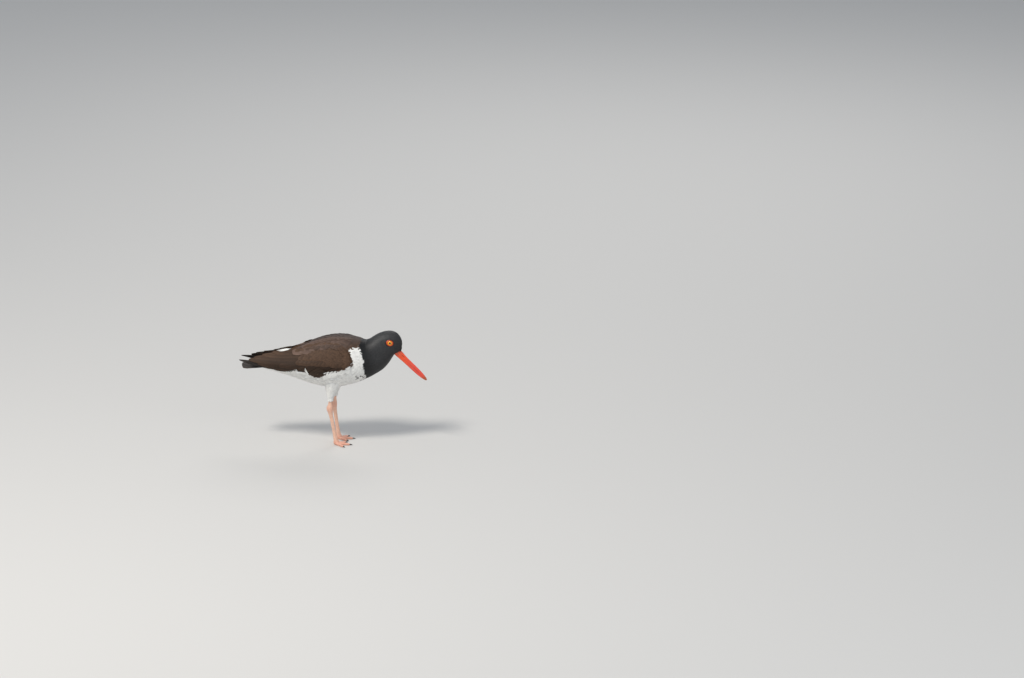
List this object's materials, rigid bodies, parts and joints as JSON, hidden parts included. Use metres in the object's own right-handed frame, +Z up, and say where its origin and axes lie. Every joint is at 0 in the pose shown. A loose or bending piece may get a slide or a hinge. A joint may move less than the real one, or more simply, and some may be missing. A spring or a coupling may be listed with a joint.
{
  "type": "american oystercatcher",
  "caption": "Standing wading bird with a black head, brown back, white belly, pink legs and a long straight red-orange bill pointed down at the ground.",
  "frame": {"origin": "on the floor, under the middle of the bird's bounding box, between and just behind the feet", "axes": "+X towards the bill, the way the bird faces; +Y to the bird's left; +Z up from the floor"},
  "size_m": [0.3746, 0.0978, 0.2336],
  "materials": {
    "black_plumage": "soft overlapping feathers over flesh, matte black with a faint slate sheen",
    "body_plumage": "soft overlapping feathers over flesh, matte white",
    "rump_plumage": "loose white covert feathers with no flesh in them",
    "wing_plumage": "closed wing of layered feathers, dull grey-brown with paler fringes",
    "flight_feathers": "smooth stiff vanes, dark brown to black",
    "bill": "smooth horn, satin, orange at the base and redder to the tip",
    "leg_skin": "finely scaled bare skin, pale flesh pink",
    "claw": "dark horn",
    "iris": "wet, glossy, yellow-orange iris with a small black pupil",
    "eye_ring": "bare fleshy orange-red ring"
  },
  "bodies": {
    "root": {"head": "black_plumage", "neck": "black_plumage", "trunk": "body_plumage", "rump": "rump_plumage", "tail": "flight_feathers", "bill_upper": "bill", "bill_lower": "bill", "wing_right": "wing_plumage", "primaries_right": "flight_feathers", "eye_right": "iris", "eye_ring_right": "eye_ring", "thigh_right": "body_plumage", "leg_right": "leg_skin", "foot_right": "leg_skin", "claw_right_inner": "claw", "claw_right_middle": "claw", "claw_right_outer": "claw", "wing_left": "wing_plumage", "primaries_left": "flight_feathers", "eye_left": "iris", "eye_ring_left": "eye_ring", "thigh_left": "body_plumage", "leg_left": "leg_skin", "foot_left": "leg_skin", "claw_left_inner": "claw", "claw_left_middle": "claw", "claw_left_outer": "claw"}
  },
  "joints": []
}
